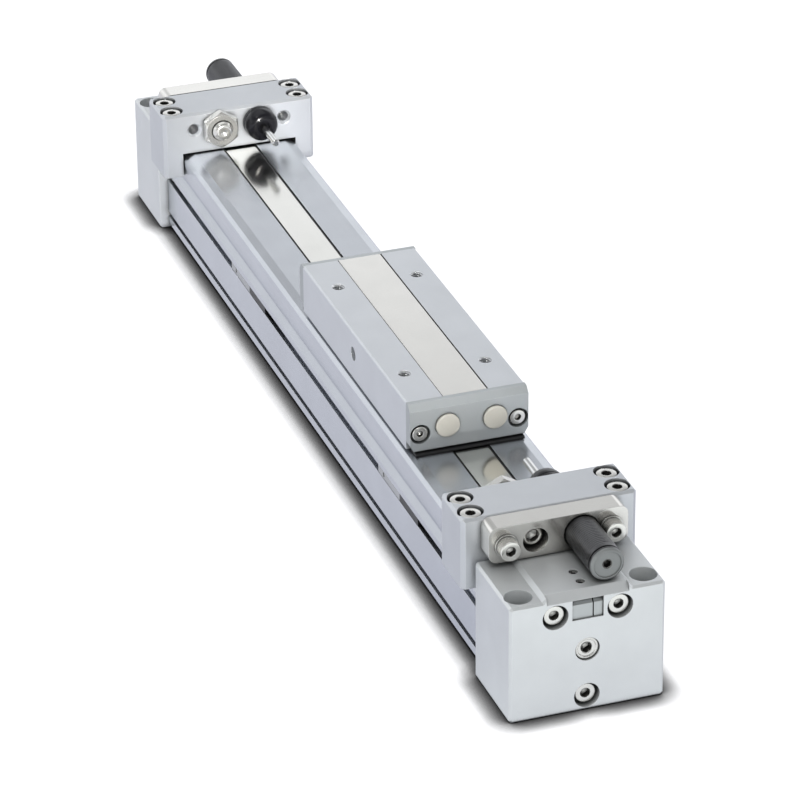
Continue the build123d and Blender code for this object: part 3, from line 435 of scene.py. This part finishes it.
def weldedMesh(node):
    bm = bmesh.new()
    bm.from_mesh(nodes[node].data)
    bmesh.ops.remove_doubles(bm, verts=bm.verts, dist=weldReach)
    return bm


def solidsOf(node):
    # lowest and highest corner of each separate solid in a CAD node
    bm = weldedMesh(node)
    left = set(bm.verts)
    found = []
    while left:
        group, edge = set(), [left.pop()]
        while edge:
            vert = edge.pop()
            group.add(vert)
            for joined in vert.link_edges:
                other = joined.other_vert(vert)
                if other in left:
                    left.discard(other)
                    edge.append(other)
        low = Vector([min(v.co[i] for v in group) for i in range(3)])
        high = Vector([max(v.co[i] for v in group) for i in range(3)])
        found.append((low, high))
    bm.free()
    return sorted(found, key=lambda pair: tuple(round(c, 5) for c in pair[0]))


def turnedSize(box, axis):
    # radius and length of a round solid along an axis, in mm
    low, high = box
    across = (axis + 1) % 3
    return (high[across] - low[across]) / mm / 2, (high[axis] - low[axis]) / mm


def middleOf(node):
    low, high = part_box(node)
    return (low.x + high.x) / 2


def outward(box, node):
    # the way along X from a node's middle to one of its solids
    return 1 if (box[0].x + box[1].x) / 2 > middleOf(node) else -1


def seat(box, axis, sign):
    # matrix from a piece's own upright axis, in mm, to the end of a solid's box that faces along sign * axis
    low, high = box
    middle = (low + high) / 2
    middle[axis] = high[axis] if sign > 0 else low[axis]
    way = Vector((0, 0, 0))
    way[axis] = sign
    return Matrix.Translation(middle) @ way.to_track_quat("Z", "X").to_matrix().to_4x4() @ Matrix.Scale(mm, 4)


# every turned, threaded or six-sided piece is a stack of rings round an axis, in mm, its end face at height 0
drillTip = 0.05     # radius in mm where a drilled hole ends
hair = 0.01         # step in mm between two rings at a sharp corner
leastFade = 0.01    # share of a thread's depth that is left at its ends


def hexRadius(flats):
    def radius(angle):
        return flats / 2 / math.cos((angle % (math.pi / 3)) - math.pi / 6)
    return radius


def edgeRings(points, radius, size=1.0):
    # points: how far down and how far in from the rim of an end face
    return [(-down * size, radius - inward * size) for down, inward in points]


def socketRings(flats, top, deep, cone):
    # hexagon socket: its wall, and the drilled cone at its floor
    wall = hexRadius(flats)
    return [(-top, wall), (-deep, wall), (-deep - cone, drillTip)]


def threadRings(start, end, radius, pitch, depth, perPitch=8):
    # rings whose radius waves with height minus turns, fading out at both ends
    count = int(round((end - start) / pitch * perPitch))
    rings = []
    for k in range(count + 1):
        height = start + (end - start) * k / count

        def wave(angle, height=height):
            phase = (height / pitch - angle / (2 * math.pi)) % 1.0
            fade = min(1.0, (height - start) / pitch + leastFade, (end - height) / pitch + leastFade)
            return radius - depth * fade * (0.5 - 0.5 * math.cos(2 * math.pi * phase))
        rings.append((height, wave))
    return rings


def addRings(bm, rings, turn, steps=72, paints=()):
    # rings: (height, radius) with radius a number or a function of the angle, closed at both ends
    # paints: (first ring, material number), for what follows that ring
    def paintOf(ring):
        return max([(first, paint) for first, paint in paints if first <= ring], default=(0, 0))[1]
    loops = []
    for height, radius in rings:
        loop = []
        for i in range(steps):
            angle = 2 * math.pi * i / steps
            r = radius(angle) if callable(radius) else radius
            loop.append(bm.verts.new(turn @ Vector((r * math.cos(angle), r * math.sin(angle), height))))
        loops.append(loop)
    for k in range(len(loops) - 1):
        for i in range(steps):
            j = (i + 1) % steps
            face = bm.faces.new((loops[k][i], loops[k][j], loops[k + 1][j], loops[k + 1][i]))
            face.material_index = paintOf(k)
    bm.faces.new(loops[0][::-1])
    bm.faces.new(loops[-1]).material_index = paintOf(len(loops))


def makePiece(name, bm, mats, body, slotName, *stoodFor, sharp=32, blendAcross=None):
    # sharp: degrees between two faces from which their edge stays sharp
    # blendAcross: start and end, given for a band half; the piece then keeps its place in the world and rides
    # no body, and the two points are not used
    bmesh.ops.recalc_face_normals(bm, faces=bm.faces)
    mesh = bpy.data.meshes.new(name)
    bm.to_mesh(mesh)
    bm.free()
    for polygon in mesh.polygons:
        polygon.use_smooth = True
    mesh.set_sharp_from_angle(angle=math.radians(sharp))
    for mat in mats:
        mesh.materials.append(mat)
    piece = bpy.data.objects.new(name, mesh)
    link(piece)
    if blendAcross:
        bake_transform(piece)
    else:
        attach(piece, body)
    if stoodFor:
        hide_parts(*stoodFor)


# socket head cap screws: rounded head, hexagon socket, fluted grip where the head stands free
capScrew = {
    "headHeight": {7.0: 4.0, 5.5: 2.3},     # by head diameter
    "shank": {7.0: 3.9, 5.5: 2.9},
    "socket": {7.0: 3.0, 5.5: 2.0},         # across its flats
    "socketDepth": 0.6,     # share of the head's height
    "socketCone": 0.2,      # this and the next three are shares of the flats
    "socketFoot": 0.46,
    "mouth": 0.6,
    "mouthInner": 0.5775,
    "mouthDepth": (0.1, 0.17),      # where the mouth ends and where the six sides start
    "tip": 0.4,             # chamfer at the shank's end
    "neck": 0.1,            # where the shank widens into the head
    "heel": (0.2, 0.15),    # chamfer under the head: in, up
    "topRound": 0.35,
    "roundPoints": ((0.45, 0.16), (0.12, 0.55), (0.0, 1.0)),        # shares of the round
    "flutes": 36,
    "fluteDepth": 0.11,
    "fluteEnd": (0.2, 0.1),         # how far below the top's round the flutes fade out
    "steps": 72,
    "stepsFluted": 144,
}


def addCapScrew(bm, box, axis, sign, fluted=False):
    # the head's size is the listed one that is nearest to the CAD screw's
    own = capScrew
    found, length = turnedSize(box, axis)
    size = min(own["headHeight"], key=lambda d: abs(d - 2 * found))
    radius, head = size / 2, own["headHeight"][size]
    shank, flats = own["shank"][size] / 2, own["socket"][size]
    tip, neck, rim = own["tip"], own["neck"], own["topRound"]
    inHeel, upHeel = own["heel"]

    def grip(angle):
        return radius - own["fluteDepth"] * (0.5 + 0.5 * math.cos(own["flutes"] * angle))
    side = grip if fluted else radius
    fluteStop, rimStart = own["fluteEnd"]
    rings = [(-length, shank - tip), (-length + tip, shank), (-head - 2 * neck, shank), (-head, shank + neck)]
    rings += [(-head, radius - inHeel), (-head + upHeel, radius), (-head + upHeel + hair, side)]
    rings += [(-rim - fluteStop, side), (-rim - rimStart, radius - 2 * hair)]
    rings += edgeRings(own["roundPoints"], radius, rim)
    mouthTop, wallTop = own["mouthDepth"]
    rings += [(0, flats * own["mouth"]), (-mouthTop, flats * own["mouthInner"])]
    # from here the socket's mouth and walls take the dark socket finish, a painted shade
    dark = len(rings) - 1
    depth = head * own["socketDepth"]
    wall = hexRadius(flats)
    rings += [(-wallTop, wall), (-depth, wall), (-depth - 2 * hair, flats * own["socketFoot"])]
    rings += [(-depth - flats * own["socketCone"], drillTip)]
    steps = own["stepsFluted"] if fluted else own["steps"]
    addRings(bm, rings, seat(box, axis, sign), steps=steps, paints=((dark, 1), (dark + 2, 2)))


def screwPiece(name, node, axis, sign, fluted=False):
    # sign 0: each screw faces away from the node's middle
    bm = bmesh.new()
    for box in solidsOf(node):
        addCapScrew(bm, box, axis, sign or outward(box, node), fluted)
    makePiece(name, bm, screwMats, bodyOfNode[node], "plated_screw", node)


for end, sign in ends.items():
    screwPiece(f"headCapScrews_{end}", f"head_screws_{end}", 0, sign)
    screwPiece(f"bracketCapScrews_{end}", f"bracket_screws_{end}", 2, 1)
    screwPiece(f"plateCapScrews_{end}", f"plate_screws_{end}", 0, sign, fluted=True)
screwPiece("coverCapScrews", "end_cover_screws", 0, 0)
print("cap screws made")


# set screws over the band clamp, with their hexagon sockets
setScrew = {
    "socket": 1.5,
    "socketDepth": 1.2,
    "socketCone": 0.3,
    "mouth": 0.6,       # share of the flats
    "mouthDepth": 0.1,
    "rim": 0.25,
    "steps": 48,
}


def setScrews(end):
    own = setScrew
    node = f"band_clamp_screws_{end}"
    flats, rim = own["socket"], own["rim"]
    bm = bmesh.new()
    for box in solidsOf(node):
        radius, length = turnedSize(box, 2)
        rings = [(-length, radius - rim), (-length + rim, radius), (-rim, radius), (0, radius - rim)]
        rings += [(0, flats * own["mouth"])]
        dark = len(rings) - 1
        rings += socketRings(flats, own["mouthDepth"], own["socketDepth"], own["socketCone"])
        addRings(bm, rings, seat(box, 2, 1), steps=own["steps"], paints=((dark, 1),))
    makePiece(f"clampSetScrews_{end}", bm, (finishes["plated_screw"], socketPaintedShade), "cylinder",
              "plated_screw", node)


# plug in each end port: sealed rim, dished face and hexagon socket
endPlug = {
    "socket": 3.4,
    "socketDepth": 3.2,
    "socketCone": 0.6,
    "mouth": (0.66, 0.58),      # shares of the flats, at the dish and below
    "mouthDepth": 0.2,
    "tip": 0.6,
    "edgePoints": ((0.4, 0.0), (0.12, 0.12), (0.0, 0.4)),       # down, in
    "rim": 0.5,
    "rimSlope": 0.3,
    "dish": 0.35,
}


def endPlugPiece(end, sign):
    own = endPlug
    node = f"end_port_plug_{end}"
    box = solidsOf(node)[0]
    radius, length = turnedSize(box, 0)
    tip, dish, flats = own["tip"], own["dish"], own["socket"]
    wide, narrow = own["mouth"]
    inner = radius - own["rim"] - own["edgePoints"][-1][1]
    rings = [(-length, radius - tip), (-length + tip, radius)] + edgeRings(own["edgePoints"], radius)
    rings += [(0, inner), (-dish, inner - own["rimSlope"]), (-dish, flats * wide)]
    rings += [(-dish - own["mouthDepth"], flats * narrow)]
    dark = len(rings) - 1
    top = dish + own["mouthDepth"] + 2 * hair
    rings += socketRings(flats, top, own["socketDepth"], own["socketCone"])
    bm = bmesh.new()
    addRings(bm, rings, seat(box, 0, sign), paints=((dark, 1), (dark + 2, 2)))
    makePiece(f"endPlug_{end}", bm, screwMats, "cylinder", slotOfNode[node], node)


for end, sign in ends.items():
    setScrews(end)
    endPlugPiece(end, sign)
print("set screws and plugs made")


# shock absorbers: threaded body, grooved smooth end with an adjusting socket
absorber = {
    "rodHole": 1.7,
    "backEdge": (0.7, 0.15, 1.0),       # length, step and depth of the edge on the rod's side
    "threadStart": 1.0,
    "pitch": 1.0,
    "perPitch": 6,
    "threadDepth": 0.1,
    "smoothEnd": 3.2,
    "grooveStart": 1.7,
    "grooveWidth": 0.5,
    "grooveDepth": 0.6,
    "grooveSlope": (0.15, 0.1),     # at the thread's side and at the face's side
    "edgePoints": ((0.75, 0.02), (0.35, 0.22), (0.08, 0.7), (0.0, 1.0)),        # down, in
    "facePlate": 4.6,
    "faceStep": 0.1,
    "faceInset": 0.4,
    "mouth": (1.9, 1.7),        # radii, at the face and below
    "mouthDepth": 0.15,
    "socket": 2.5,
    "socketDepth": 2.6,
    "socketCone": 0.3,
    "steps": 60,
}


def absorberBody(end, sign):
    own = absorber
    node = f"absorber_body_{end}"
    box = solidsOf(node)[0]
    radius, length = turnedSize(box, 0)
    long, step, deep = own["backEdge"]
    rings = [(-length, own["rodHole"]), (-length, radius - deep), (-length + long, radius - step)]
    rings += threadRings(-length + own["threadStart"], -own["smoothEnd"], radius, own["pitch"],
                         own["threadDepth"], own["perPitch"])
    groove, width, floor = own["grooveStart"], own["grooveWidth"], radius - own["grooveDepth"]
    inSlope, outSlope = own["grooveSlope"]
    smooth = radius - own["edgePoints"][0][1]
    rings += [(-groove - width - inSlope, radius), (-groove - width, floor), (-groove, floor)]
    rings += [(-groove + outSlope, smooth)]
    # from here the end face takes the lighter face finish, a painted reflection
    front = len(rings)
    inset, face = own["faceInset"], own["facePlate"]
    top = inset + own["mouthDepth"]
    wide, narrow = own["mouth"]
    rings += edgeRings(own["edgePoints"], radius)
    rings += [(0, face + own["faceStep"]), (-inset, face), (-inset, wide), (-top, narrow)]
    dark = len(rings) - 1
    rings += socketRings(own["socket"], top + hair, own["socketDepth"], own["socketCone"])
    bm = bmesh.new()
    addRings(bm, rings, seat(box, 0, sign), steps=own["steps"], paints=((front, 1), (dark, 2)))
    makePiece(f"absorberBody_{end}", bm, (finishes["absorber_grey"], absorberFacePaintedSheen, socketPaintedShade), "cylinder",
              "absorber_grey", node)


# domed glossy caps on the rods' side
cap = {
    "dome": (       # down, share of the radius
        (0.0, 0.42), (0.12, 0.58), (0.45, 0.74), (1.0, 0.855), (1.8, 0.935), (2.8, 0.98), (4.0, 1.0),
    ),
    "domeStop": 2.4,        # the dome ends this far above the cap's back
    "lip": (0.35, 0.6),     # up, in
    "groove": ((1.6, 0.0), (1.75, 0.25), (2.05, 0.25), (2.2, 0.0)),     # up from the back, in
    "rodMouth": ((0.05, 2.3), (0.6, 2.1), (0.6, 1.5)),      # down, radius
    "sharp": 50,        # degrees, so that the dome looks smooth
}


def absorberCap(end, sign):
    node = f"absorber_cap_{end}"
    box = solidsOf(node)[0]
    radius, length = turnedSize(box, 0)
    upLip, inLip = cap["lip"]
    rings = [(-length, radius - inLip), (-length + upLip, radius)]
    rings += [(-length + up, radius - inward) for up, inward in cap["groove"]]
    dome = [point for point in cap["dome"] if point[0] < length - cap["domeStop"]]
    rings += [(-down, radius * share) for down, share in reversed(dome)]
    rings += [(-down, across) for down, across in cap["rodMouth"]]
    bm = bmesh.new()
    addRings(bm, rings, seat(box, 0, -sign))
    makePiece(f"absorberCap_{end}", bm, (finishes["cap_black"],), "cylinder", "cap_black", node,
              sharp=cap["sharp"])


# adjusting bolts: full thread, rounded striking end with a dimple, socket in the other end
adjustingBolt = {
    "pitch": 1.25,
    "threadDepth": 0.62,
    "threadEnds": (1.5, 1.1),       # from the striking end and from the socket's end
    "dimple": ((0.7, 0.1), (0.15, 1.1), (0.0, 1.5)),        # depth, radius
    "strikingEdge": ((0.1, 1.3), (0.5, 0.6), (1.2, 0.2)),   # up, in
    "edgePoints": ((0.7, 0.3), (0.1, 0.9), (0.0, 1.1)),     # down, in
    "socket": 4.0,
    "socketDepth": 2.2,
    "socketCone": 0.5,
    "mouth": (0.63, 0.57),      # shares of the flats
    "mouthDepth": 0.25,
    "steps": 60,
}


def adjustingBoltPiece(end, sign):
    own = adjustingBolt
    node = f"adjusting_bolt_{end}"
    box = solidsOf(node)[0]
    radius, length = turnedSize(box, 0)
    flats = own["socket"]
    rings = [(-length + up, across) for up, across in own["dimple"]]
    rings += [(-length + up, radius - inward) for up, inward in own["strikingEdge"]]
    start, stop = own["threadEnds"]
    rings += threadRings(-length + start, -stop, radius, own["pitch"], own["threadDepth"])
    wide, narrow = own["mouth"]
    rings += edgeRings(own["edgePoints"], radius)
    rings += [(0, flats * wide), (-own["mouthDepth"], flats * narrow)]
    dark = len(rings) - 1
    rings += socketRings(flats, own["mouthDepth"] + hair, own["socketDepth"], own["socketCone"])
    bm = bmesh.new()
    addRings(bm, rings, seat(box, 0, sign), steps=own["steps"], paints=((dark, 1), (dark + 2, 2)))
    makePiece(f"adjustingBolt_{end}", bm, screwMats, bodyOfNode[node], slotOfNode[node], node)


# lock nuts: six sides whose corners are turned off to a cone at both faces
lockNut = {
    "bore": 3.75,
    "boreEdge": 0.5,
    "coneSlope": 1.75,
    "faceRing": 0.47,       # radius of the turned face, share of the flats
    "levels": (0.0, 0.15, 0.3, 0.45, 0.6, 0.8, 1.0),        # heights of the cone's rings
    "steps": 96,
    "sharp": 20,        # degrees, so that the cone's edge shows
}


def lockNutPiece(end, sign):
    own = lockNut
    node = f"adjusting_bolt_nut_{end}"
    box = solidsOf(node)[0]
    thick, wide, tall = [(high - low) / mm for low, high in zip(*box)]
    flats = min(wide, tall)
    turned = math.pi / 6 if wide < tall else 0.0

    def side(down):
        def radius(angle):
            return min(hexRadius(flats)(angle + turned), flats * own["faceRing"] + down * own["coneSlope"])
        return radius
    bore, edge = own["bore"], own["boreEdge"]
    rings = [(-thick, bore + edge)] + [(-thick + down, side(down)) for down in own["levels"]]
    rings += [(-down, side(down)) for down in reversed(own["levels"])]
    rings += [(0, bore + edge), (-edge, bore), (-thick + edge, bore)]
    bm = bmesh.new()
    addRings(bm, rings, seat(box, 0, -sign), steps=own["steps"])
    makePiece(f"lockNut_{end}", bm, (finishes["plated_screw"],), "cylinder", slotOfNode[node], node,
              sharp=own["sharp"])


for end, sign in ends.items():
    absorberBody(end, sign)
    absorberCap(end, sign)
    adjustingBoltPiece(end, sign)
    lockNutPiece(end, sign)
print("absorbers, bolts and nuts made")


# striker buttons: flat moulded discs with a rounded rim, on the slider's end covers
striker = {
    "rim": 0.5,
    "roundPoints": ((1.0, 0.0), (0.55, 0.11), (0.2, 0.4), (0.0, 1.0)),      # shares of the rim
    "thick": 1.2,
    "draft": 0.1,       # how much narrower the disc is at its back
    "stem": 2.45,
    "tip": 0.3,
    "steps": 64,
}


def strikerButtons():
    own = striker
    node = "striker_buttons"
    stem, tip, thick = own["stem"], own["tip"], own["thick"]
    bm = bmesh.new()
    for box in solidsOf(node):
        radius, length = turnedSize(box, 0)
        rings = [(-length, stem - tip), (-length + tip, stem), (-thick, stem)]
        rings += [(-thick, radius - own["draft"])] + edgeRings(own["roundPoints"], radius, own["rim"])
        addRings(bm, rings, seat(box, 0, outward(box, node)), steps=own["steps"])
    makePiece("strikerButtons", bm, (finishes["striker_plastic"],), "carriage", "striker_plastic", node)


strikerButtons()
print("striker buttons made")


# threads in the slider's four mounting holes: a cup with a threaded wall in each
tapped = {
    "radius": 2.12,
    "core": 1.78,
    "pitch": 0.8,
    "depth": 0.3,
    "down": 6.0,
    "floor": 0.3,
    "threadFoot": 0.4,      # the thread stops this far above the cup's foot
    "threadTop": 0.05,      # and this far below the mouth
    "mouth": 0.25,
    "steps": 40,
}


def tappedThreads():
    own = tapped
    mount = next(m for m in record["mounts"] if m["name"] == "slider_mounting_holes")
    x, y, top = mount["pos_m"]
    halfX, halfY = mount["dims"]["spacing_x_mm"] / 2, mount["dims"]["spacing_y_mm"] / 2
    widest = own["core"] + own["depth"]
    down, mouth = own["down"], own["mouth"]
    cup = [(-down, own["radius"]), (-mouth, own["radius"]), (-mouth, widest)]
    start, stop = -down + own["threadFoot"], -mouth - own["threadTop"]
    wall = threadRings(start, stop, widest, own["pitch"], own["depth"])
    cup += wall[::-1] + [(-down + own["floor"], own["core"])]
    bm = bmesh.new()
    for sx in (-1, 1):
        for sy in (-1, 1):
            spot = Vector((x + sx * halfX * mm, y + sy * halfY * mm, top))
            addRings(bm, cup, Matrix.Translation(spot) @ Matrix.Scale(mm, 4), steps=own["steps"])
    makePiece("tappedThreads", bm, (threadBright,), "carriage", "slider_aluminium")


tappedThreads()
print("tapped holes threaded")


# bands: each is cut at the slider's middle into two halves whose cut is closed;
# each half keeps its place in the world and rides no body, so nothing stretches it
bands = {
    "dustBand": {"node": "dust_seal_band", "bend": 0.044},      # half length of the hump or dip, in metres
    "innerBand": {"node": "inner_seal_band", "bend": 0.033},
}
bandHold = 0.176        # where the heads hold the bands, along X


def bandHalf(name, own, end, sign):
    middle = middleOf("slider_body")
    bm = weldedMesh(own["node"])
    every = bm.verts[:] + bm.edges[:] + bm.faces[:]
    bmesh.ops.bisect_plane(bm, geom=every, plane_co=(middle, 0, 0), plane_no=(sign, 0, 0), clear_inner=True)
    bmesh.ops.holes_fill(bm, edges=[e for e in bm.edges if e.is_boundary])
    start = Vector((sign * bandHold, 0, 0))
    stop = Vector((middle + sign * own["bend"], 0, 0))
    makePiece(f"{name}_{end}", bm, (finishes["band_steel"],), None, "band_steel", own["node"],
              blendAcross=(start, stop))


# black sealing bead in the gap on each side of the dust band
bead = {
    "inner": 5.87,
    "outer": 6.68,
    "low": 39.7,
    "rise": 0.12,
    "round": 0.16,
    "roundSteps": 6,
    "reach": 176.0,
}


def addBar(bm, outline, start, end):
    # a closed (y, z) outline drawn out along X, in mm
    rings = []
    for x in (start, end):
        rings.append([bm.verts.new(Vector((x, y, z)) * mm) for y, z in outline])
    count = len(outline)
    for i in range(count):
        j = (i + 1) % count
        bm.faces.new((rings[0][i], rings[0][j], rings[1][j], rings[1][i]))
    bm.faces.new(rings[0][::-1])
    bm.faces.new(rings[1])


def dustBandBeads():
    own = bead
    bm = bmesh.new()
    width, middle = own["outer"] - own["inner"], (own["inner"] + own["outer"]) / 2
    points = [(own["inner"], own["low"]), (own["outer"], own["low"])]
    for k in range(own["roundSteps"] + 1):
        angle = math.pi * k / own["roundSteps"]
        height = own["low"] + own["rise"] + math.sin(angle) * own["round"]
        points.append((middle + math.cos(angle) * width / 2, height))
    for side in (-1, 1):
        addBar(bm, [(side * y, z) for y, z in points], -own["reach"], own["reach"])
    makePiece("dustBandBeads", bm, (finishes["seal_rubber"],), "cylinder", "seal_rubber")


for end, sign in ends.items():
    for name, own in bands.items():
        bandHalf(name, own, end, sign)
dustBandBeads()
print("bands laid")
